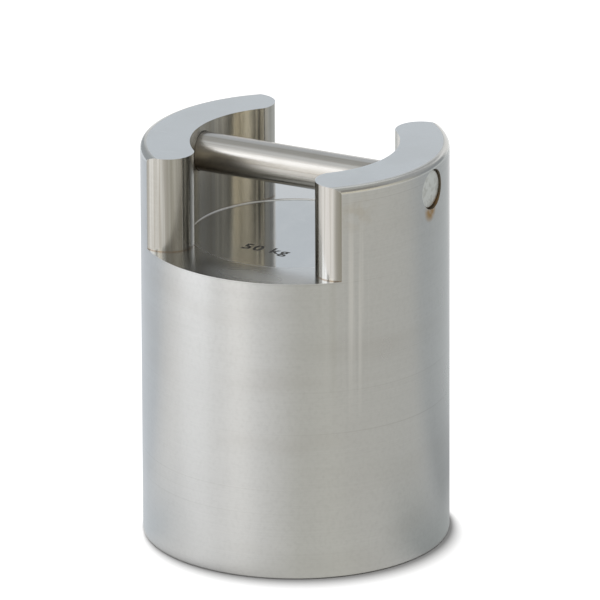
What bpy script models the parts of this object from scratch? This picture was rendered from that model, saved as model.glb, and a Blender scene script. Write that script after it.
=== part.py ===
"""A heavy calibration weight: a steel cylinder with two horns and a lifting bar.

The blank is turned, with a round on each outer edge and a shallow pocket bored
into its top. A slot milled across it leaves two crescent horns on a polished
deck, and a bore through both horns takes the bar. The origin is the centre of
the base, +Z is up, and the bar runs along X.
"""
import math

import bpy

# Driving dimensions of the body, in metres
BODY_RADIUS = 0.0965
BODY_HEIGHT = 0.256
BASE_ROUND = 0.001
TOP_ROUND = 0.004
EDGE_BREAK = 0.0003

# The horns: crescents about the X axis with bulging ends
HORN_HEIGHT = 0.061
HORN_WALL = 0.031
HORN_HALF_ANGLE = math.radians(45)
HORN_END_BULGE = 0.0116
POCKET_STEP = 0.0007

# The lifting bar and its bores
BAR_RADIUS = 0.0125
BAR_CLEARANCE = 0.0003
BAR_COVER = 0.0042
BAR_RECESS = 0.002
BAR_END_ROUND = 0.001

# Fineness of the round forms
RIM_STEPS = 144
END_STEPS = 16
BAR_STEPS = 48
ROUND_STEPS = 5
SMALL_ROUND_STEPS = 3
WELD_DISTANCE = 0.00002
CUT_MARGIN = 0.01
SHARP_ANGLE = math.radians(40)

# Sizes that follow from those above
DECK_Z = BODY_HEIGHT - HORN_HEIGHT
POCKET_Z = DECK_Z - POCKET_STEP
POCKET_RADIUS = BODY_RADIUS - HORN_WALL
BORE_RADIUS = BAR_RADIUS + BAR_CLEARANCE
BAR_Z = BODY_HEIGHT - BAR_COVER - BORE_RADIUS
BAR_LENGTH = 2 * (BODY_RADIUS - BAR_RECESS)

# Finish: colour, metallic and roughness
TURNED_STEEL = ((0.50, 0.49, 0.47, 1.0), 1.0, 0.32)
DRAWN_STEEL = ((0.52, 0.50, 0.46, 1.0), 1.0, 0.28)


def clear_scene():
    for obj in list(bpy.data.objects):
        bpy.data.objects.remove(obj)


def steel(name, finish):
    """A plain metal material of one finish."""
    colour, metallic, roughness = finish
    material = bpy.data.materials.new(name)
    material.use_nodes = True
    shader = material.node_tree.nodes["Principled BSDF"]
    shader.inputs["Base Color"].default_value = colour
    shader.inputs["Metallic"].default_value = metallic
    shader.inputs["Roughness"].default_value = roughness
    return material


def add_object(name, points, faces, edges=()):
    """An object whose mesh has these points, edges and faces, shaded smooth."""
    mesh = bpy.data.meshes.new(name)
    mesh.from_pydata(points, edges, faces)
    mesh.shade_smooth()
    obj = bpy.data.objects.new(name, mesh)
    bpy.context.scene.collection.objects.link(obj)
    return obj


def make_cutter(obj):
    obj.hide_render = True
    obj.display_type = "WIRE"
    return obj


def arc(centre, radius, start, end, steps):
    """Points on a circular arc, both ends included."""
    return [
        (
            centre[0] + radius * math.cos(start + (end - start) * i / steps),
            centre[1] + radius * math.sin(start + (end - start) * i / steps),
        )
        for i in range(steps + 1)
    ]


def turned(name, profile, steps):
    """A solid turned about Z from a profile of (radius, height) that ends on the axis twice."""
    points = [(radius, 0, height) for radius, height in profile]
    edges = [(i, i + 1) for i in range(len(points) - 1)]
    obj = add_object(name, points, (), edges)
    lathe = obj.modifiers.new("turned", "SCREW")
    lathe.axis = "Z"
    lathe.angle = math.tau
    lathe.steps = steps
    lathe.render_steps = steps
    lathe.use_smooth_shade = True
    lathe.use_merge_vertices = True
    lathe.merge_threshold = WELD_DISTANCE
    return obj


def prism(name, outline, low, high):
    """An upright solid with this outline, which runs counter-clockwise seen from above."""
    count = len(outline)
    points = [(x, y, z) for z in (low, high) for x, y in outline]
    sides = [(i, (i + 1) % count, count + (i + 1) % count, count + i) for i in range(count)]
    ends = [tuple(reversed(range(count))), tuple(range(count, 2 * count))]
    return add_object(name, points, sides + ends)


def subtract(obj, cutter, name):
    cut = obj.modifiers.new(name, "BOOLEAN")
    cut.operation = "DIFFERENCE"
    cut.solver = "EXACT"
    cut.object = cutter


def blank_profile():
    """From the pocket's centre out over the rim and down the side to the base's centre."""
    top_centre = (BODY_RADIUS - TOP_ROUND, BODY_HEIGHT - TOP_ROUND)
    base_centre = (BODY_RADIUS - BASE_ROUND, BASE_ROUND)
    return [
        (0, POCKET_Z),
        (POCKET_RADIUS, POCKET_Z),
        (POCKET_RADIUS, BODY_HEIGHT),
        *arc(top_centre, TOP_ROUND, math.pi / 2, 0, ROUND_STEPS),
        *arc(base_centre, BASE_ROUND, 0, -math.pi / 2, SMALL_ROUND_STEPS),
        (0, 0),
    ]


def horn_end(angle, side):
    """The bulging end of a horn as plan points from its inner to its outer corner.

    The corners lie on the ray at this angle, and side is the turn, 1 or -1, from
    the ray into the slot.
    """
    half_chord = HORN_WALL / 2
    radius = (half_chord**2 + HORN_END_BULGE**2) / (2 * HORN_END_BULGE)
    along = POCKET_RADIUS + half_chord
    across = HORN_END_BULGE - radius
    reach = math.asin(half_chord / radius)
    if across > 0:
        reach = math.pi - reach
    bulge = arc((along, across), radius, math.pi / 2 + reach, math.pi / 2 - reach, END_STEPS)
    return [
        (
            t * math.cos(angle) - side * n * math.sin(angle),
            t * math.sin(angle) + side * n * math.cos(angle),
        )
        for t, n in bulge
    ]


def slot_outline():
    """Both mouths of the slot, joined across the open pocket."""
    reach = BODY_RADIUS + CUT_MARGIN
    corner = HORN_HALF_ANGLE
    front_right = horn_end(-corner, -1)
    front_left = horn_end(corner - math.pi, 1)
    back_left = horn_end(math.pi - corner, -1)
    back_right = horn_end(corner, 1)
    wide = reach * math.cos(corner)
    deep = reach * math.sin(corner)
    return [
        *front_left,
        (-wide, -deep),
        (-wide, -reach),
        (wide, -reach),
        (wide, -deep),
        *reversed(front_right),
        *back_right,
        (wide, deep),
        (wide, reach),
        (-wide, reach),
        (-wide, deep),
        *reversed(back_left),
    ]


def make_body():
    body = turned("weight_body", blank_profile(), RIM_STEPS)
    slot = make_cutter(prism("slot_cutter", slot_outline(), DECK_Z, BODY_HEIGHT + CUT_MARGIN))
    bore_profile = [(0, BODY_RADIUS + CUT_MARGIN), (BORE_RADIUS, BODY_RADIUS + CUT_MARGIN)]
    bore_profile += [(r, -h) for r, h in reversed(bore_profile)]
    bore = make_cutter(turned("bore_cutter", bore_profile, BAR_STEPS))
    bore.location.z = BAR_Z
    bore.rotation_euler.y = math.pi / 2
    subtract(body, slot, "milled slot")
    subtract(body, bore, "bore through both horns")
    weld = body.modifiers.new("weld", "WELD")
    weld.merge_threshold = WELD_DISTANCE
    edges = body.modifiers.new("broken edges", "BEVEL")
    edges.width = EDGE_BREAK
    edges.segments = 1
    edges.limit_method = "ANGLE"
    edges.angle_limit = SHARP_ANGLE
    edges.harden_normals = True
    body.data.materials.append(steel("turned_steel", TURNED_STEEL))
    return body


def make_bar():
    half = BAR_LENGTH / 2
    flat = BAR_RADIUS - BAR_END_ROUND
    profile = [
        (0, half),
        *arc((flat, half - BAR_END_ROUND), BAR_END_ROUND, math.pi / 2, 0, SMALL_ROUND_STEPS),
        *arc((flat, BAR_END_ROUND - half), BAR_END_ROUND, 0, -math.pi / 2, SMALL_ROUND_STEPS),
        (0, -half),
    ]
    bar = turned("handle_bar", profile, BAR_STEPS)
    bar.location.z = BAR_Z
    bar.rotation_euler.y = math.pi / 2
    bar.data.materials.append(steel("drawn_steel", DRAWN_STEEL))
    return bar


def main():
    clear_scene()
    body = make_body()
    bar = make_bar()
    bar.parent = body


main()
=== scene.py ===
"""The looks of a heavy calibration weight: a turned steel cylinder with two horns and a bar.

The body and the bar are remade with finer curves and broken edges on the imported
frame, and each machined surface gets its own finish. Lengths are in metres.
"""
import math
from collections import namedtuple

import bpy
from mathutils import Matrix, Vector


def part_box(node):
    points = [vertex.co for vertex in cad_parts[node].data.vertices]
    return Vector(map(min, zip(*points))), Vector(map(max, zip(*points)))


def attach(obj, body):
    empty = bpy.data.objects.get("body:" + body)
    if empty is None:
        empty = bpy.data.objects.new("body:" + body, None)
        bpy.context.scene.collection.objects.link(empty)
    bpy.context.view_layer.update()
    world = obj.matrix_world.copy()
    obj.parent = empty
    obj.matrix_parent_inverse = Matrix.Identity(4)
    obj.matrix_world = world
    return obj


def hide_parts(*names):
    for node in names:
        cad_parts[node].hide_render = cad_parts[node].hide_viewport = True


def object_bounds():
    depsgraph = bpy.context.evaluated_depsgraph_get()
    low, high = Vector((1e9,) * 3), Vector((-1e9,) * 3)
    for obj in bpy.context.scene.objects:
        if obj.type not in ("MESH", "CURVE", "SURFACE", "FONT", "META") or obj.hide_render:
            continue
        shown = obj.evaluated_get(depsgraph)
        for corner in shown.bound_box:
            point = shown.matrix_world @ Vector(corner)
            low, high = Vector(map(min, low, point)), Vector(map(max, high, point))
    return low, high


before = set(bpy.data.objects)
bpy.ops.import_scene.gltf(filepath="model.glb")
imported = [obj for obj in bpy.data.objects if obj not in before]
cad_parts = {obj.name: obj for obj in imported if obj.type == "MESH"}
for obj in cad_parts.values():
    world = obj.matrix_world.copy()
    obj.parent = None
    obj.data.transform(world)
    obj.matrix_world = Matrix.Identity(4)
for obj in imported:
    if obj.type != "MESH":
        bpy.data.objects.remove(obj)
cad_low, cad_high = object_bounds()
bar_low, bar_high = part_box("handle_bar")

# Sizes read from the frame
RADIUS = cad_high.x
HEIGHT = cad_high.z
BAR_RADIUS = (bar_high.z - bar_low.z) / 2
BAR_HALF = (bar_high.x - bar_low.x) / 2
BAR_Z = (bar_high.z + bar_low.z) / 2

# Sizes of the turned and milled forms, as the solids have them
HORN_HEIGHT = 0.061
HORN_WALL = 0.031
HORN_HALF_ANGLE = math.radians(45)
HORN_END_BULGE = 0.0116
POCKET_STEP = 0.0007
TOP_ROUND = 0.004
BASE_ROUND = 0.001
EDGE_BREAK = 0.0003
BAR_END_ROUND = 0.001
BORE_CLEARANCE = 0.0003
DECK_Z = HEIGHT - HORN_HEIGHT
POCKET_Z = DECK_Z - POCKET_STEP
POCKET_RADIUS = RADIUS - HORN_WALL
BORE_RADIUS = BAR_RADIUS + BORE_CLEARANCE
BORE_FOOT = BAR_Z - BORE_RADIUS

# Fineness of the round forms, and the ring of faces round the side at the deck's level
RIM_STEPS = 360
END_STEPS = 48
BAR_STEPS = 160
ROUND_STEPS = 8
EDGE_STEPS = 2
SIDE_RING = 0.001
CUT_MARGIN = 0.01
WELD_DISTANCE = 0.00001
SHARP_ANGLE = math.radians(40)

# The camera, as fitted to the photograph: angles in radians, lens and sensor in millimetres
VIEW_AZIMUTH = math.radians(27.72)
VIEW_YAW = 0.0004
VIEW_PITCH = 0.3428
VIEW_ROLL = -0.0036
VIEW_DISTANCE = 7.085
VIEW_HEIGHT = 2.679
FOCAL_LENGTH = 721.25
SENSOR = 36.0

# The wander of tone on every steel: slow clouds, in cells to the metre, mixed with the fine grain
CLOUD_GRAIN = (14, 14, 9)
CLOUD_SHARE = 0.6
FINE_SHARE = 0.4
NOISE_LOW = 0.3
NOISE_HIGH = 0.7

# A right angle, as the shader counts the turn of its reflections
QUARTER_TURN = 0.25

# A marked place on the steel: an ellipsoid with the share of its radii over which it fades
Place = namedtuple("Place", "centre radii softness")

# Wiped streaks and brown spots by the right horn, and rust under the right bore
WIPES = Place((0.072, -0.064, 0.185), (0.020, 0.026, 0.090), 0.8)
SPOTS = Place((0.075, -0.061, 0.238), (0.016, 0.016, 0.014), 0.7)
RUST_RUN = Place((RADIUS, -0.003, BORE_FOOT - 0.0005), (0.010, 0.0075, 0.0075), 0.6)
RUST_POOL = Place((RADIUS, 0.004, BORE_FOOT), (0.012, 0.012, 0.012), 0.5)

# Upright stretches of the horns whose tone was tuned to the photograph, all centred at one height.
# Most of them are likely reflections there, which are painted here as tints. They are painted
# reflections, laid on the steel as tints
PAINTED_REFLECTION_Z = 0.222
WALL_DARK_REFLECTION = Place((-0.064, 0.003, PAINTED_REFLECTION_Z), (0.030, 0.026, 0.080), 0.3)
WALL_TAN_REFLECTION = Place((-0.0555, 0.0345, PAINTED_REFLECTION_Z), (0.012, 0.0105, 0.080), 0.45)
WALL_REFLECTED_LINES = (
    Place((-0.0496, 0.0429, PAINTED_REFLECTION_Z), (0.0012, 0.0012, 0.080), 0.6),
    Place((-0.0474, 0.0453, PAINTED_REFLECTION_Z), (0.0015, 0.0015, 0.080), 0.6),
)
END_BRIGHT_REFLECTION = Place((0.0585, -0.0700, PAINTED_REFLECTION_Z), (0.0085, 0.0085, 0.090), 0.4)
LEFT_END_DARK_REFLECTION = Place((-0.0545, -0.0690, PAINTED_REFLECTION_Z), (0.0060, 0.0060, 0.090), 0.5)
RIGHT_END_DARK_REFLECTION = Place((0.0675, -0.0685, PAINTED_REFLECTION_Z), (0.0050, 0.0050, 0.090), 0.5)

# Haze on the deck, painted shade and dark reflection on the bar by its left bore, and the width of the
# painted highlight along the pocket's rim
DECK_HAZE = Place((0.016, -0.082, DECK_Z), (0.050, 0.020, 0.020), 0.9)
BAR_PAINTED_SHADE = Place((-POCKET_RADIUS, -0.009, BAR_Z - 0.008), (0.040, 0.016, 0.015), 0.9)
RIM_HIGHLIGHT_WIDTH = 0.0008

# Heights between which painted shade fades in: the foot of the side, and the underside of the bar
FOOT_CLEAR = 0.0012
FOOT_FULL = 0.0002
BAR_UNDER_CLEAR = BAR_Z + 0.005
BAR_UNDER_FULL = BAR_Z - 0.004

# The value mark on the pocket's floor
MARK_TEXT = "50 kg"
MARK_SIZE = 0.0128
MARK_SPACING = 1.16
MARK_PLACE = (-0.0185, -0.0384)
MARK_HEIGHT = 0.00003
MARK_BOLDNESS = 0.0003

# The floor: its half width, tone and glow
FLOOR_HALF = 6.0
FLOOR_TONE = 0.55
FLOOR_GLOW = 0.82

# The shade on the floor, from one circle, the foot's, to a second that reaches past it: each centre
# as an azimuth and a distance, the reach, the least width and how fast the shade falls off
FOOT_CENTRE = (35, 0.002)
SHADE_CENTRE = (14, 0.0188)
SHADE_REACH = 0.006
SHADE_LEAST = 0.003
SHADE_FALL = 1.6

# Soft lamps, with azimuths in degrees from the camera, and the fill from the world
LAMPS = {
    "key_softbox": {
        "azimuth": -77,
        "distance": 1.3,
        "height": 0.55,
        "size": (0.65, 1.1),
        "radiance": 1.6,
        "colour": (0.97, 1.0, 1.07),
    },
    "warm_softbox": {
        "azimuth": -42,
        "distance": 1.4,
        "height": 0.85,
        "size": (0.50, 1.7),
        "radiance": 1.25,
        "colour": (1.0, 0.95, 0.88),
    },
}
WORLD_FILL = 0.6

# Forms of the paper sweeps that stand, hang and lie about the object, as edges of distance,
# height and solidity
LOW_WALL = ((1.9, 0.0, 1.0), (1.9, 0.8, 1.0))
HIGH_WALL = ((1.9, 0.8, 1.0), (1.9, 2.4, 1.0))
UPPER_WALL = ((1.95, 1.15, 1.0), (1.95, 2.4, 1.0))
CEILING = ((0.01, 2.4, 1.0), (1.9, 2.4, 1.0))
SHEET = ((0.0975, 0.0003, 1.0), (1.9, 0.0003, 1.0))
NEAR_SHEET = ((0.0975, 0.0005, 1.0), (0.13, 0.0005, 1.0), (0.21, 0.0005, 0.0))
BESIDE_SHEET = ((0.0975, 0.0007, 0.0), (0.16, 0.0007, 1.0), (0.34, 0.0007, 0.0))

# Tones of the sweeps, with how solid each is
LEFT_BACK_GREY = (0.44, 0.47, 0.50, 1)
LEFT_GREY = (0.85, 0.85, 0.83, 1)
FRONT_GREY = (0.43, 0.40, 0.35, 1)
RIGHT_GREY = (0.87, 0.82, 0.70, 1)
BESIDE_GREY = (0.54, 0.54, 0.50, 1)
FAR_GREY = (0.37, 0.39, 0.41, 1)
FRONT_HIGH_GREY = (0.58, 0.56, 0.52, 1)
RIGHT_HIGH_GREY = (0.32, 0.31, 0.29, 1)
FAR_HIGH_GREY = (0.46, 0.47, 0.48, 1)
BEHIND_HIGH_GREY = (0.66, 0.69, 0.72, 1)
LEFT_HIGH_GREY = (0.48, 0.51, 0.53, 1)
CEILING_GREY = (0.85, 0.87, 0.87, 1)
CEILING_DIM_GREY = (0.50, 0.50, 0.48, 1)
LEFT_SHEET_GREY = (0.86, 0.91, 0.97, 1)
FRONT_SHEET_GREY = (0.88, 0.88, 0.83, 1)
RIGHT_SHEET_GREY = (0.80, 0.80, 0.77, 1)
FAR_SHEET_GREY = (0.66, 0.69, 0.70, 1)
NEAR_LEFT_GREY = (0.85, 0.90, 0.95, 1)
NEAR_RIGHT_GREY = (0.50, 0.53, 0.53, 1)
BESIDE_SHEET_GREY = (0.42, 0.44, 0.45, 1)
OPEN = (1, 1, 1, 0)

# The sweeps: the form of each, and its tones at azimuths in degrees from the camera
SWEEPS = {
    "left_wall": (
        LOW_WALL,
        [
            (-176, OPEN),
            (-162, LEFT_BACK_GREY),
            (-132, LEFT_BACK_GREY),
            (-115, LEFT_GREY),
            (-32, LEFT_GREY),
            (4, FRONT_GREY),
        ],
    ),
    "right_wall": (
        LOW_WALL,
        [
            (4, FRONT_GREY),
            (12, FRONT_GREY),
            (26, RIGHT_GREY),
            (62, RIGHT_GREY),
            (88, BESIDE_GREY),
            (102, FAR_GREY),
            (136, FAR_GREY),
            (152, OPEN),
        ],
    ),
    "high_wall": (
        HIGH_WALL,
        [
            (-28, OPEN),
            (-16, FRONT_HIGH_GREY),
            (18, FRONT_HIGH_GREY),
            (30, RIGHT_HIGH_GREY),
            (58, RIGHT_HIGH_GREY),
            (86, FAR_HIGH_GREY),
            (128, FAR_HIGH_GREY),
            (142, OPEN),
        ],
    ),
    "upper_corner": (
        UPPER_WALL,
        [(128, OPEN), (142, FAR_HIGH_GREY), (165, FAR_HIGH_GREY), (178, OPEN)],
    ),
    "behind_high_wall": (
        HIGH_WALL,
        [
            (158, OPEN),
            (174, BEHIND_HIGH_GREY),
            (186, BEHIND_HIGH_GREY),
            (202, LEFT_HIGH_GREY),
            (235, LEFT_HIGH_GREY),
            (255, OPEN),
        ],
    ),
    "ceiling": (
        CEILING,
        [
            (-180, CEILING_GREY),
            (-170, CEILING_DIM_GREY),
            (-120, CEILING_DIM_GREY),
            (-95, CEILING_GREY),
            (12, CEILING_GREY),
            (40, CEILING_DIM_GREY),
            (112, CEILING_DIM_GREY),
            (138, CEILING_GREY),
            (180, CEILING_GREY),
        ],
    ),
    "left_sheet": (
        SHEET,
        [(-170, OPEN), (-156, LEFT_SHEET_GREY), (-118, LEFT_SHEET_GREY), (-95, OPEN)],
    ),
    "near_left_sheet": (
        NEAR_SHEET,
        [(-140, OPEN), (-110, NEAR_LEFT_GREY), (-82, NEAR_LEFT_GREY), (-45, OPEN)],
    ),
    "near_right_sheet": (
        NEAR_SHEET,
        [(30, OPEN), (60, NEAR_RIGHT_GREY), (95, NEAR_RIGHT_GREY), (130, OPEN)],
    ),
    "beside_sheet": (
        BESIDE_SHEET,
        [(80, OPEN), (105, BESIDE_SHEET_GREY), (140, BESIDE_SHEET_GREY), (155, OPEN)],
    ),
    "right_sheet": (
        SHEET,
        [
            (-38, OPEN),
            (0, FRONT_SHEET_GREY),
            (18, FRONT_SHEET_GREY),
            (34, RIGHT_SHEET_GREY),
            (86, RIGHT_SHEET_GREY),
            (102, FAR_SHEET_GREY),
            (150, FAR_SHEET_GREY),
            (165, OPEN),
        ],
    ),
}
SWEEP_STEP = 6


class Graph:
    """Short calls for building one material's nodes."""

    def __init__(self, name):
        self.material = bpy.data.materials.new(name)
        self.material.use_nodes = True
        self.tree = self.material.node_tree
        self.shader = self.tree.nodes["Principled BSDF"]

    def node(self, kind, **settings):
        made = self.tree.nodes.new("ShaderNode" + kind)
        for key, value in settings.items():
            setattr(made, key, value)
        return made

    def join(self, source, target):
        self.tree.links.new(source, target)

    def feed(self, socket, value):
        """Sets a socket to a number, or joins another node's output to it."""
        if isinstance(value, bpy.types.NodeSocket):
            self.join(value, socket)
        else:
            socket.default_value = value

    def maths(self, operation, first, second, clamp=False):
        made = self.node("Math", operation=operation, use_clamp=clamp)
        self.feed(made.inputs[0], first)
        self.feed(made.inputs[1], second)
        return made.outputs[0]

    def position(self):
        """The point's place in the object's own frame."""
        return self.node("TexCoord").outputs["Object"]

    def stretched(self, stretch):
        made = self.node("Mapping")
        self.join(self.position(), made.inputs["Vector"])
        made.inputs["Scale"].default_value = stretch
        return made.outputs[0]

    def noise(self, grain, detail=2.0, roughness=0.5):
        """Noise whose grain has this many cells to the metre along X, Y and Z."""
        made = self.node("TexNoise")
        self.join(self.stretched(grain), made.inputs["Vector"])
        made.inputs["Scale"].default_value = 1.0
        made.inputs["Detail"].default_value = detail
        made.inputs["Roughness"].default_value = roughness
        return made.outputs["Fac"]

    def ranged(self, value, low, high, to_low, to_high):
        """Maps a value's run from low to high onto the run from to_low to to_high, and no further."""
        made = self.node("MapRange")
        self.join(value, made.inputs["Value"])
        made.inputs["From Min"].default_value = low
        made.inputs["From Max"].default_value = high
        made.inputs["To Min"].default_value = to_low
        made.inputs["To Max"].default_value = to_high
        return made.outputs[0]

    def height(self):
        made = self.node("SeparateXYZ")
        self.join(self.position(), made.inputs[0])
        return made.outputs["Z"]

    def distance_to(self, centre):
        made = self.node("VectorMath", operation="DISTANCE")
        self.join(self.position(), made.inputs[0])
        made.inputs[1].default_value = centre
        return made.outputs["Value"]

    def near(self, place):
        """A mask that is one inside a place, falling to nought over its outer share."""
        offset = self.node("VectorMath", operation="SUBTRACT")
        self.join(self.position(), offset.inputs[0])
        offset.inputs[1].default_value = place.centre
        scaled = self.node("VectorMath", operation="DIVIDE")
        self.join(offset.outputs[0], scaled.inputs[0])
        scaled.inputs[1].default_value = place.radii
        reach = self.node("VectorMath", operation="LENGTH")
        self.join(scaled.outputs[0], reach.inputs[0])
        return self.ranged(reach.outputs["Value"], 1.0, 1.0 - place.softness, 0.0, 1.0)

    def by_height(self, clear, full, strength):
        """A mask that is nought at the clear height and has its strength at the full one."""
        return self.ranged(self.height(), clear, full, 0.0, strength)

    def blend(self, factor, first, second):
        """A colour between two others."""
        made = self.node("Mix", data_type="RGBA")
        self.feed(made.inputs["Factor"], factor)
        self.feed(made.inputs["A"], first)
        self.feed(made.inputs["B"], second)
        return made.outputs["Result"]

    def bump(self, height, distance):
        made = self.node("Bump")
        self.join(height, made.inputs["Height"])
        made.inputs["Distance"].default_value = distance
        return made.outputs[0]


class Steel(Graph):
    """Metal whose tone wanders between two along a directed grain, and its roughness with it.

    The grain is in cells to the metre, and its depth in metres.
    """

    def __init__(self, name, tones, rough, grain, depth):
        super().__init__(name)
        fine = self.noise(grain, detail=3.0, roughness=0.6)
        cloud = self.noise(CLOUD_GRAIN, detail=3.0)
        slow = self.maths("MULTIPLY", cloud, CLOUD_SHARE)
        tone = self.maths("ADD", slow, self.maths("MULTIPLY", fine, FINE_SHARE))
        self.colour = self.blend(self.ranged(tone, NOISE_LOW, NOISE_HIGH, 0.0, 1.0), *tones)
        self.rough = self.ranged(cloud, NOISE_LOW, NOISE_HIGH, *rough)
        self.normal = self.bump(fine, depth)

    def tint(self, mask, colour):
        """Lays another colour over the steel where the mask says."""
        self.colour = self.blend(mask, self.colour, colour)

    def roughen(self, mask, amount):
        self.rough = self.maths("ADD", self.rough, self.maths("MULTIPLY", mask, amount))

    def turned(self, anisotropy):
        """The finish of a tool that went round the Z axis, which draws reflections out upright."""
        around_z = self.node("Tangent", direction_type="RADIAL", axis="Z")
        self.shader.inputs["Anisotropic"].default_value = anisotropy
        self.shader.inputs["Anisotropic Rotation"].default_value = QUARTER_TURN
        self.join(around_z.outputs[0], self.shader.inputs["Tangent"])

    def milled(self, anisotropy, axis):
        """A finish that draws reflections out along one fixed axis."""
        along = self.node("CombineXYZ")
        along.inputs[axis].default_value = 1.0
        self.shader.inputs["Anisotropic"].default_value = anisotropy
        self.join(along.outputs[0], self.shader.inputs["Tangent"])

    def patches(self, grain, levels, strength, detail=2.0):
        """A mask of scattered marks from noise, which grow as it rises between two levels."""
        return self.ranged(self.noise(grain, detail), *levels, 0.0, strength)

    def patches_near(self, place, grain, levels, strength):
        """Scattered marks that keep to one place."""
        return self.maths("MULTIPLY", self.patches(grain, levels, strength), self.near(place))

    def finished(self):
        self.shader.inputs["Metallic"].default_value = 1.0
        self.join(self.colour, self.shader.inputs["Base Color"])
        self.join(self.rough, self.shader.inputs["Roughness"])
        self.join(self.normal, self.shader.inputs["Normal"])
        return self.material


def side_steel():
    """Satin turned steel with faint smudges, wipe marks, brown spots, rust under the bore, and painted
    shade at the foot.
    """
    metal = Steel(
        "side_steel",
        tones=((0.46, 0.46, 0.45, 1), (0.53, 0.53, 0.52, 1)),
        rough=(0.27, 0.35),
        grain=(6, 6, 2600),
        depth=0.00001,
    )
    metal.turned(0.8)
    mottle = metal.patches(grain=(430, 430, 430), levels=(0.45, 0.75), strength=0.35)
    metal.tint(mottle, (0.42, 0.42, 0.41, 1))
    smudges = metal.patches(grain=(9, 9, 38), levels=(0.52, 0.72), strength=0.35)
    metal.tint(smudges, (0.42, 0.41, 0.39, 1))
    scratches = metal.patches(grain=(2, 2, 620), levels=(0.66, 0.72), strength=0.25)
    metal.tint(scratches, (0.30, 0.29, 0.27, 1))
    wiped = metal.patches_near(WIPES, grain=(260, 260, 3), levels=(0.52, 0.68), strength=0.6)
    metal.tint(wiped, (0.66, 0.65, 0.63, 1))
    streaked = metal.patches_near(WIPES, grain=(190, 190, 2), levels=(0.50, 0.64), strength=0.45)
    metal.tint(streaked, (0.36, 0.35, 0.31, 1))
    spots = metal.patches_near(SPOTS, grain=(160, 160, 160), levels=(0.42, 0.64), strength=0.3)
    metal.tint(spots, (0.40, 0.35, 0.27, 1))
    rusty = metal.patches_near(RUST_RUN, grain=(150, 150, 150), levels=(0.22, 0.52), strength=1.0)
    metal.tint(rusty, (0.50, 0.33, 0.16, 1))
    metal.roughen(rusty, 0.3)
    # Painted shade: the side darkens towards its foot on the floor
    foot = metal.by_height(FOOT_CLEAR, FOOT_FULL, strength=0.5)
    metal.tint(foot, (0.22, 0.21, 0.20, 1))
    return metal.finished()


def horn_top_steel():
    """Ground faces, a little cooler, with short faint scratches."""
    metal = Steel(
        "horn_top_steel",
        tones=((0.60, 0.63, 0.65, 1), (0.66, 0.69, 0.71, 1)),
        rough=(0.30, 0.38),
        grain=(900, 900, 9),
        depth=0.00001,
    )
    dull = metal.patches(grain=(34, 34, 34), levels=(0.50, 0.70), strength=0.3)
    metal.tint(dull, (0.56, 0.58, 0.59, 1))
    scratches = metal.patches(grain=(60, 900, 9), levels=(0.66, 0.72), strength=0.3)
    metal.tint(scratches, (0.78, 0.80, 0.81, 1))
    return metal.finished()


def brown_line_at_foot(metal, reach, strength):
    """A brown line where an upright wall stands on the deck."""
    metal.tint(metal.by_height(DECK_Z + reach, DECK_Z, strength), (0.26, 0.19, 0.13, 1))


def inner_wall_steel():
    """The bored wall of the horns, with upright streaks, and painted reflections in stretches and
    lines of another tone.
    """
    metal = Steel(
        "inner_wall_steel",
        tones=((0.42, 0.40, 0.35, 1), (0.52, 0.50, 0.45, 1)),
        rough=(0.21, 0.25),
        grain=(6, 6, 1800),
        depth=0.000002,
    )
    metal.turned(1.0)
    smudges = metal.patches(grain=(40, 40, 9), levels=(0.50, 0.70), strength=0.3)
    metal.tint(smudges, (0.38, 0.35, 0.30, 1))
    # Painted reflections: a dark stretch and a tan stretch of the wall
    metal.tint(metal.near(WALL_DARK_REFLECTION), (0.31, 0.29, 0.25, 1))
    metal.tint(metal.near(WALL_TAN_REFLECTION), (0.72, 0.66, 0.53, 1))
    pale_streaks = metal.patches(grain=(130, 130, 2), levels=(0.52, 0.60), strength=0.25)
    metal.tint(pale_streaks, (0.60, 0.56, 0.48, 1))
    dark_streaks = metal.patches(grain=(190, 190, 3), levels=(0.54, 0.64), strength=0.55)
    metal.tint(dark_streaks, (0.25, 0.22, 0.17, 1))
    # Painted reflections: two thin bright upright lines
    for line in WALL_REFLECTED_LINES:
        metal.tint(metal.near(line), (0.92, 0.86, 0.72, 1))
    brown_line_at_foot(metal, reach=0.0008, strength=0.5)
    return metal.finished()


def hair_scratches(metal):
    """Fine bright scratches that run along X."""
    scratches = metal.patches(grain=(50, 1400, 9), levels=(0.67, 0.72), strength=0.35)
    metal.tint(scratches, (0.78, 0.79, 0.80, 1))


def deck_steel():
    """The milled floor of the slot, a little duller than the pocket, with a painted highlight along
    the pocket's rim.
    """
    metal = Steel(
        "deck_steel",
        tones=((0.61, 0.63, 0.64, 1), (0.66, 0.68, 0.69, 1)),
        rough=(0.15, 0.21),
        grain=(700, 700, 9),
        depth=0.000002,
    )
    hair_scratches(metal)
    from_middle = metal.distance_to((0, 0, DECK_Z))
    # Painted highlight: a bright line along the pocket's rim
    rim = metal.ranged(from_middle, POCKET_RADIUS + RIM_HIGHLIGHT_WIDTH, POCKET_RADIUS, 0.0, 1.0)
    metal.tint(rim, (0.74, 0.75, 0.76, 1))
    metal.roughen(rim, 0.25)
    metal.roughen(metal.near(DECK_HAZE), 0.14)
    return metal.finished()


def pocket_steel():
    """Near-mirror floor of the pocket, with wiped haze and hair scratches."""
    metal = Steel(
        "pocket_steel",
        tones=((0.61, 0.63, 0.64, 1), (0.66, 0.68, 0.69, 1)),
        rough=(0.05, 0.08),
        grain=(700, 700, 9),
        depth=0.000002,
    )
    haze = metal.patches(grain=(55, 22, 9), levels=(0.46, 0.72), strength=1.0, detail=3.0)
    metal.roughen(haze, 0.07)
    hair_scratches(metal)
    return metal.finished()


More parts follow.
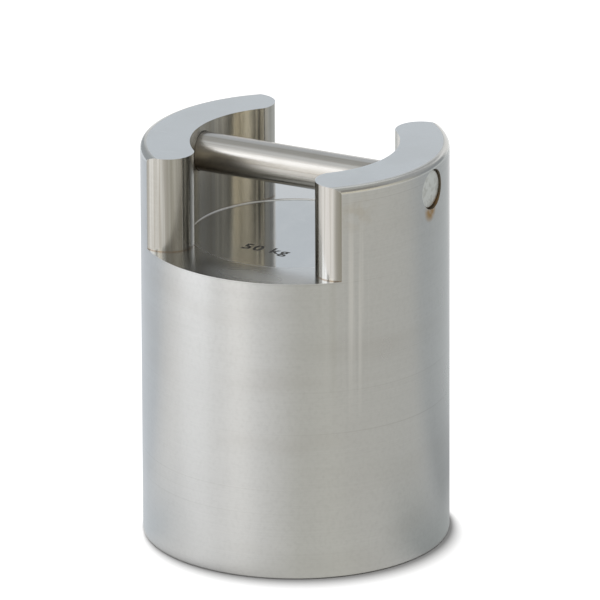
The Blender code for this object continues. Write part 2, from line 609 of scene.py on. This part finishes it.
def horn_end_steel():
    """Milled ends with upright lines, painted reflections in bright and dull stretches, and a brown
    line along the foot.
    """
    metal = Steel(
        "horn_end_steel",
        tones=((0.37, 0.355, 0.32, 1), (0.45, 0.435, 0.40, 1)),
        rough=(0.16, 0.20),
        grain=(9, 9, 900),
        depth=0.000003,
    )
    metal.milled(0.85, "Z")
    # Painted reflections: one bright and two dark upright stretches of the ends
    metal.tint(metal.near(END_BRIGHT_REFLECTION), (0.52, 0.50, 0.47, 1))
    metal.tint(metal.near(LEFT_END_DARK_REFLECTION), (0.33, 0.315, 0.28, 1))
    metal.tint(metal.near(RIGHT_END_DARK_REFLECTION), (0.30, 0.285, 0.25, 1))
    dark_lines = metal.patches(grain=(420, 420, 6), levels=(0.48, 0.64), strength=0.4)
    metal.tint(dark_lines, (0.26, 0.24, 0.20, 1))
    pale_lines = metal.patches(grain=(330, 330, 5), levels=(0.50, 0.66), strength=0.6)
    metal.tint(pale_lines, (0.55, 0.54, 0.51, 1))
    brown_line_at_foot(metal, reach=0.0009, strength=0.9)
    return metal.finished()


def bore_steel():
    """The dark wall of the bore, rusty where the right bore comes out."""
    metal = Steel(
        "bore_steel",
        tones=((0.20, 0.17, 0.13, 1), (0.30, 0.27, 0.22, 1)),
        rough=(0.40, 0.55),
        grain=(900, 900, 900),
        depth=0.00002,
    )
    rusty = metal.patches_near(RUST_POOL, grain=(240, 240, 240), levels=(0.35, 0.60), strength=1.0)
    metal.tint(rusty, (0.38, 0.25, 0.13, 1))
    return metal.finished()


def edge_steel():
    """Broken edges and the pocket's fillet, worn bright."""
    metal = Steel(
        "edge_steel",
        tones=((0.72, 0.72, 0.71, 1), (0.80, 0.80, 0.79, 1)),
        rough=(0.20, 0.28),
        grain=(900, 900, 900),
        depth=0.000005,
    )
    return metal.finished()


def base_steel():
    """The base's plain face, fine in grain, with faint scuffs."""
    metal = Steel(
        "base_steel",
        tones=((0.42, 0.42, 0.41, 1), (0.48, 0.48, 0.47, 1)),
        rough=(0.34, 0.42),
        grain=(700, 700, 9),
        depth=0.00001,
    )
    scuffs = metal.patches(grain=(25, 900, 9), levels=(0.60, 0.72), strength=0.5)
    metal.tint(scuffs, (0.33, 0.32, 0.31, 1))
    return metal.finished()


def top_round_steel():
    """The round between a horn's top and the side, polished and worn bright."""
    metal = Steel(
        "top_round_steel",
        tones=((0.56, 0.56, 0.54, 1), (0.64, 0.64, 0.62, 1)),
        rough=(0.16, 0.24),
        grain=(900, 900, 900),
        depth=0.000005,
    )
    smudges = metal.patches(grain=(60, 60, 200), levels=(0.50, 0.68), strength=0.3)
    metal.tint(smudges, (0.48, 0.46, 0.42, 1))
    return metal.finished()


def bar_steel():
    """Fine polish with faint streaks along the bar and handling marks, with painted shade that browns
    the underside and darkens the bar by its left bore.
    """
    metal = Steel(
        "bar_steel",
        tones=((0.50, 0.49, 0.47, 1), (0.57, 0.56, 0.54, 1)),
        rough=(0.20, 0.28),
        grain=(9, 1500, 1500),
        depth=0.000004,
    )
    metal.milled(0.7, "X")
    streaks = metal.patches(grain=(9, 900, 900), levels=(0.50, 0.68), strength=0.3)
    metal.tint(streaks, (0.40, 0.37, 0.32, 1))
    handling = metal.patches(grain=(60, 90, 90), levels=(0.50, 0.70), strength=0.25)
    metal.tint(handling, (0.45, 0.43, 0.39, 1))
    # Painted shade: the bar darkens and browns below its middle
    underside = metal.by_height(BAR_UNDER_CLEAR, BAR_UNDER_FULL, strength=0.7)
    metal.tint(underside, (0.37, 0.34, 0.29, 1))
    # Painted shade and dark reflection where the bar meets the left horn
    metal.tint(metal.near(BAR_PAINTED_SHADE), (0.17, 0.13, 0.09, 1))
    return metal.finished()


def bar_end_steel():
    """The bar's faced ends, with a mottled skin."""
    metal = Steel(
        "bar_end_steel",
        tones=((0.58, 0.58, 0.55, 1), (0.68, 0.68, 0.65, 1)),
        rough=(0.30, 0.42),
        grain=(700, 700, 700),
        depth=0.00001,
    )
    mottle = metal.patches(grain=(260, 260, 260), levels=(0.50, 0.66), strength=0.6)
    metal.tint(mottle, (0.44, 0.43, 0.39, 1))
    return metal.finished()


def mark_material():
    """The dull dark skin of the marked figures."""
    metal = Steel(
        "mark_dark",
        tones=((0.07, 0.07, 0.07, 1), (0.13, 0.13, 0.13, 1)),
        rough=(0.45, 0.60),
        grain=(2000, 2000, 9),
        depth=0.00001,
    )
    return metal.finished()


# The finish of each zone of the body's surface, in the order of its material slots
BODY_FINISHES = {
    "side": side_steel,
    "horn_top": horn_top_steel,
    "inner_wall": inner_wall_steel,
    "deck": deck_steel,
    "horn_end": horn_end_steel,
    "bore": bore_steel,
    "edge": edge_steel,
    "base": base_steel,
    "top_round": top_round_steel,
    "pocket": pocket_steel,
}
ZONES = list(BODY_FINISHES)

# The bar's own zones, in the order of its material slots
BAR_ROUND = 0
BAR_FACE = 1


def arc(centre, radius, start, end, steps):
    """Points on a circular arc, both ends included."""
    return [
        (
            centre[0] + radius * math.cos(start + (end - start) * i / steps),
            centre[1] + radius * math.sin(start + (end - start) * i / steps),
        )
        for i in range(steps + 1)
    ]


def add_piece(name, points, faces, zones, materials):
    """A smooth-shaded object whose faces name their zones."""
    mesh = bpy.data.meshes.new(name)
    mesh.from_pydata(points, [], faces)
    for material in materials:
        mesh.materials.append(material)
    mesh.polygons.foreach_set("material_index", zones)
    mesh.shade_smooth()
    obj = bpy.data.objects.new(name, mesh)
    bpy.context.scene.collection.objects.link(obj)
    return obj


def turned_solid(name, stretches, steps, materials, turn=Matrix.Identity(4)):
    """A solid turned about Z from its top down, capped flat at both ends.

    Each stretch is (zone, points), and its points run on from the last stretch's
    end. The first stretch is the top cap, with one point on its rim. The last is
    the base cap, with none.
    """
    (top_zone, top_rim), *walls, (base_zone, _) = stretches
    profile = list(top_rim)
    strips = []
    for zone, points in walls:
        profile += points
        strips += [zone] * len(points)
    faces = [tuple(range(steps))]
    zones = [top_zone]
    for row, zone in enumerate(strips):
        for i in range(steps):
            here = row * steps + i
            beside = row * steps + (i + 1) % steps
            faces.append((here, here + steps, beside + steps, beside))
            zones.append(zone)
    last = len(strips) * steps
    faces.append(tuple(last + i for i in reversed(range(steps))))
    zones.append(base_zone)
    points = []
    for radius, height in profile:
        for i in range(steps):
            angle = math.tau * i / steps
            points.append(turn @ Vector((radius * math.cos(angle), radius * math.sin(angle), height)))
    return add_piece(name, points, faces, zones, materials)


def horn_end(angle, side):
    """The bulging end of a horn in plan, from its inner to its outer corner.

    The corners lie on the ray at this angle, and side is the turn, 1 or -1, from
    the ray into the slot.
    """
    half_chord = HORN_WALL / 2
    radius = (half_chord**2 + HORN_END_BULGE**2) / (2 * HORN_END_BULGE)
    along = POCKET_RADIUS + half_chord
    across = HORN_END_BULGE - radius
    reach = math.asin(half_chord / radius)
    bulge = arc((along, across), radius, math.pi / 2 + reach, math.pi / 2 - reach, END_STEPS)
    return [
        (
            t * math.cos(angle) - side * n * math.sin(angle),
            t * math.sin(angle) + side * n * math.cos(angle),
        )
        for t, n in bulge
    ]


def slot_outline():
    """Both mouths of the slot, joined across the open pocket."""
    reach = RADIUS + CUT_MARGIN
    corner = HORN_HALF_ANGLE
    wide = reach * math.cos(corner)
    deep = reach * math.sin(corner)
    front = [(-wide, -deep), (-wide, -reach), (wide, -reach), (wide, -deep)]
    back = [(wide, deep), (wide, reach), (-wide, reach), (-wide, deep)]
    return [
        *horn_end(corner - math.pi, 1),
        *front,
        *reversed(horn_end(-corner, -1)),
        *horn_end(corner, 1),
        *back,
        *reversed(horn_end(math.pi - corner, -1)),
    ]


def slot_cutter(materials):
    """The milled slot: its floor becomes the deck and its sides the horns' ends."""
    outline = slot_outline()
    count = len(outline)
    points = [(x, y, z) for z in (DECK_Z, HEIGHT + CUT_MARGIN) for x, y in outline]
    faces = [(i, (i + 1) % count, count + (i + 1) % count, count + i) for i in range(count)]
    faces += [tuple(reversed(range(count))), tuple(range(count, 2 * count))]
    zones = [ZONES.index("horn_end")] * count + [ZONES.index("deck")] * 2
    return add_piece("slot_cutter", points, faces, zones, materials)


def bar_turn():
    """Lays a solid turned about Z along the bar's axis."""
    return Matrix.Translation((0, 0, BAR_Z)) @ Matrix.Rotation(math.pi / 2, 4, "Y")


def bore_cutter(materials):
    """The cross bore through both horns."""
    zone = ZONES.index("bore")
    half = RADIUS + CUT_MARGIN
    stretches = [(zone, [(BORE_RADIUS, half)]), (zone, [(BORE_RADIUS, -half)]), (zone, [])]
    return turned_solid("bore_cutter", stretches, BAR_STEPS, materials, bar_turn())


def blank(materials):
    """The turned body before it is milled, from the pocket's floor over the rim to the base."""
    fillet = (POCKET_RADIUS - POCKET_STEP, DECK_Z)
    top = (RADIUS - TOP_ROUND, HEIGHT - TOP_ROUND)
    base = (RADIUS - BASE_ROUND, BASE_ROUND)
    side = ZONES.index("side")
    stretches = [
        (ZONES.index("pocket"), [(POCKET_RADIUS - POCKET_STEP, POCKET_Z)]),
        (ZONES.index("edge"), arc(fillet, POCKET_STEP, -math.pi / 2, 0, ROUND_STEPS)[1:]),
        (ZONES.index("inner_wall"), [(POCKET_RADIUS, HEIGHT)]),
        (ZONES.index("horn_top"), [(RADIUS - TOP_ROUND, HEIGHT)]),
        (ZONES.index("top_round"), arc(top, TOP_ROUND, math.pi / 2, 0, ROUND_STEPS)[1:]),
        (side, [(RADIUS, DECK_Z + SIDE_RING), (RADIUS, DECK_Z - SIDE_RING)]),
        (side, arc(base, BASE_ROUND, 0, -math.pi / 2, ROUND_STEPS)),
        (ZONES.index("base"), []),
    ]
    return turned_solid("steel_body", stretches, RIM_STEPS, materials)


def subtract(obj, cutter):
    cut = obj.modifiers.new(cutter.name, "BOOLEAN")
    cut.operation = "DIFFERENCE"
    cut.solver = "EXACT"
    cut.material_mode = "INDEX"
    cut.object = cutter


def break_edges(obj):
    """Breaks each sharp edge with a small round of its own finish."""
    edges = obj.modifiers.new("broken edges", "BEVEL")
    edges.width = EDGE_BREAK
    edges.segments = EDGE_STEPS
    edges.limit_method = "ANGLE"
    edges.angle_limit = SHARP_ANGLE
    edges.material = ZONES.index("edge")


def settle(obj):
    """Puts the modifiers' result into the object's own mesh, with flat faces shaded flat."""
    shading = obj.modifiers.new("flat faces rule", "WEIGHTED_NORMAL")
    shading.keep_sharp = True
    graph = bpy.context.evaluated_depsgraph_get()
    mesh = bpy.data.meshes.new_from_object(obj.evaluated_get(graph), depsgraph=graph)
    obj.modifiers.clear()
    obj.data = mesh


def make_body():
    """The body and its horns in one piece, milled and bored from the turned blank."""
    materials = [finish() for finish in BODY_FINISHES.values()]
    body = blank(materials)
    cutters = [slot_cutter(materials), bore_cutter(materials)]
    for cutter in cutters:
        subtract(body, cutter)
    weld = body.modifiers.new("weld", "WELD")
    weld.merge_threshold = WELD_DISTANCE
    break_edges(body)
    settle(body)
    for cutter in cutters:
        bpy.data.objects.remove(cutter)
    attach(body, "root")
    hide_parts("weight_body")


def make_bar():
    """The lifting bar, with a small round at each end."""
    flat = BAR_RADIUS - BAR_END_ROUND
    long = BAR_HALF - BAR_END_ROUND
    stretches = [
        (BAR_FACE, [(flat, BAR_HALF)]),
        (BAR_ROUND, arc((flat, long), BAR_END_ROUND, math.pi / 2, 0, ROUND_STEPS)[1:]),
        (BAR_ROUND, arc((flat, -long), BAR_END_ROUND, 0, -math.pi / 2, ROUND_STEPS)),
        (BAR_FACE, []),
    ]
    bar = turned_solid("lifting_bar", stretches, BAR_STEPS, [bar_steel(), bar_end_steel()], bar_turn())
    settle(bar)
    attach(bar, "root")
    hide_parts("handle_bar")


def make_mark():
    """The weight's nominal value, a plain figure and its unit, on the pocket's floor."""
    text = bpy.data.curves.new("value_mark", "FONT")
    text.body = MARK_TEXT
    text.size = MARK_SIZE
    text.offset = MARK_BOLDNESS
    text.space_character = MARK_SPACING
    text.extrude = MARK_HEIGHT
    letters = bpy.data.objects.new("letters", text)
    bpy.context.scene.collection.objects.link(letters)
    graph = bpy.context.evaluated_depsgraph_get()
    mesh = bpy.data.meshes.new_from_object(letters.evaluated_get(graph), depsgraph=graph)
    bpy.data.objects.remove(letters)
    mesh.transform(Matrix.Translation((*MARK_PLACE, POCKET_Z)))
    mesh.materials.clear()
    mesh.materials.append(mark_material())
    mark = bpy.data.objects.new("value_mark", mesh)
    bpy.context.scene.collection.objects.link(mark)
    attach(mark, "root")


def seen_by_view(tree):
    """One where the camera, a reflection or a refraction looks, nought for the light that is cast."""
    rays = tree.nodes.new("ShaderNodeLightPath")
    seen = rays.outputs["Is Camera Ray"]
    for name in ("Is Glossy Ray", "Is Transmission Ray"):
        either = tree.nodes.new("ShaderNodeMath")
        either.operation = "MAXIMUM"
        tree.links.new(seen, either.inputs[0])
        tree.links.new(rays.outputs[name], either.inputs[1])
        seen = either.outputs[0]
    return seen


def around(azimuth, distance, height):
    """A point at this azimuth from the camera's side, positive to the camera's right."""
    turn = VIEW_AZIMUTH + math.radians(azimuth)
    return Vector((math.sin(turn) * distance, -math.cos(turn) * distance, height))


def add_stage(name, points, faces, material):
    """A mesh that belongs to the studio, not to the object."""
    mesh = bpy.data.meshes.new(name)
    mesh.from_pydata(points, [], faces)
    mesh.materials.append(material)
    piece = bpy.data.objects.new(name, mesh)
    bpy.context.scene.collection.objects.link(piece)
    return piece


def floor_material():
    """Pale matt floor that glows white to the view, less so close to the object's foot, which paints a
    shadow round it.
    """
    graph = Graph("floor")
    graph.shader.inputs["Base Color"].default_value = (FLOOR_TONE, FLOOR_TONE, FLOOR_TONE, 1)
    graph.shader.inputs["Roughness"].default_value = 1.0
    graph.shader.inputs["Specular IOR Level"].default_value = 0.0
    graph.shader.inputs["Emission Color"].default_value = (1, 1, 1, 1)
    # Painted shadow: the glow fades out in a ring round the foot
    past_foot = graph.maths("SUBTRACT", graph.distance_to(around(*FOOT_CENTRE, 0)), RADIUS)
    from_shade = graph.distance_to(around(*SHADE_CENTRE, 0))
    inside_rim = graph.maths("SUBTRACT", RADIUS + SHADE_REACH, from_shade)
    width = graph.maths("MAXIMUM", graph.maths("ADD", past_foot, inside_rim), SHADE_LEAST)
    left = graph.maths("SUBTRACT", 1.0, graph.maths("DIVIDE", past_foot, width), clamp=True)
    glow = graph.ranged(graph.maths("POWER", left, SHADE_FALL), 0.0, 1.0, FLOOR_GLOW, 0.0)
    strength = graph.maths("MULTIPLY", glow, seen_by_view(graph.tree))
    graph.join(strength, graph.shader.inputs["Emission Strength"])
    return graph.material


def make_floor():
    half = FLOOR_HALF
    corners = [(-half, -half, 0), (half, -half, 0), (half, half, 0), (-half, half, 0)]
    add_stage("floor", corners, [(0, 1, 2, 3)], floor_material())


def make_world():
    """White where the camera or a reflection looks, and a soft fill elsewhere."""
    world = bpy.data.worlds.new("studio")
    bpy.context.scene.world = world
    world.use_nodes = True
    tree = world.node_tree
    level = tree.nodes.new("ShaderNodeMapRange")
    tree.links.new(seen_by_view(tree), level.inputs["Value"])
    level.inputs["To Min"].default_value = WORLD_FILL
    level.inputs["To Max"].default_value = 1.0
    shader = tree.nodes["Background"]
    shader.inputs["Color"].default_value = (1, 1, 1, 1)
    tree.links.new(level.outputs[0], shader.inputs["Strength"])


def add_lamp(name, azimuth, distance, height, size, radiance, colour):
    """A soft rectangular lamp facing the object."""
    wide, tall = size
    data = bpy.data.lights.new(name, "AREA")
    data.shape = "RECTANGLE"
    data.size = wide
    data.size_y = tall
    data.energy = radiance * math.pi * wide * tall
    data.color = colour
    lamp = bpy.data.objects.new(name, data)
    lamp.location = around(azimuth, distance, height)
    aim = Vector((0, 0, HEIGHT / 2)) - lamp.location
    lamp.rotation_euler = aim.to_track_quat("-Z", "Y").to_euler()
    lamp.visible_camera = False
    bpy.context.scene.collection.objects.link(lamp)


def sweep_material():
    """A glow in the mesh's own tones, clear where they are not solid."""
    graph = Graph("sweep")
    tone = graph.node("Attribute", attribute_name="tone")
    glow = graph.node("Emission")
    graph.join(tone.outputs["Color"], glow.inputs["Color"])
    mixed = graph.node("MixShader")
    graph.join(tone.outputs["Alpha"], mixed.inputs[0])
    graph.join(graph.node("BsdfTransparent").outputs[0], mixed.inputs[1])
    graph.join(glow.outputs[0], mixed.inputs[2])
    graph.join(mixed.outputs[0], graph.tree.nodes["Material Output"].inputs["Surface"])
    graph.tree.nodes.remove(graph.shader)
    graph.material.cycles.emission_sampling = "NONE"
    return graph.material


def stations(stops):
    """Azimuths along a sweep with the tone at each, which runs evenly between the stops."""
    for (start, first), (end, second) in zip(stops, stops[1:]):
        steps = math.ceil((end - start) / SWEEP_STEP)
        for i in range(steps):
            share = i / steps
            yield start + (end - start) * share, [a + (b - a) * share for a, b in zip(first, second)]
    yield stops[-1]


def add_sweep(name, form, stops, material):
    """Backdrop paper bent round part of the studio, which only reflections show."""
    points = []
    tones = []
    for azimuth, (*tone, solid) in stations(stops):
        for distance, height, share in form:
            points.append(around(azimuth, distance, height))
            tones += [*tone, solid * share]
    count = len(form)
    faces = [
        (row + i, row + i + 1, row + count + i + 1, row + count + i)
        for row in range(0, len(points) - count, count)
        for i in range(count - 1)
    ]
    sweep = add_stage(name, points, faces, material)
    sweep.data.attributes.new("tone", "FLOAT_COLOR", "POINT").data.foreach_set("color", tones)
    sweep.visible_camera = False
    sweep.visible_diffuse = False
    sweep.visible_shadow = False


def add_studio():
    for name, settings in LAMPS.items():
        add_lamp(name, **settings)
    paper = sweep_material()
    for name, (form, stops) in SWEEPS.items():
        add_sweep(name, form, stops, paper)


def add_camera():
    data = bpy.data.cameras.new("camera")
    data.sensor_width = SENSOR
    data.lens = FOCAL_LENGTH
    camera = bpy.data.objects.new("camera", data)
    place = around(0, VIEW_DISTANCE, VIEW_HEIGHT)
    camera.matrix_world = (
        Matrix.Translation(place)
        @ Matrix.Rotation(VIEW_AZIMUTH - VIEW_YAW, 4, "Z")
        @ Matrix.Rotation(math.pi / 2 - VIEW_PITCH, 4, "X")
        @ Matrix.Rotation(VIEW_ROLL, 4, "Z")
    )
    bpy.context.scene.collection.objects.link(camera)
    bpy.context.scene.camera = camera


make_body()
make_bar()
make_mark()
make_floor()
make_world()
add_studio()
add_camera()
bpy.context.scene.view_settings.view_transform = "Standard"
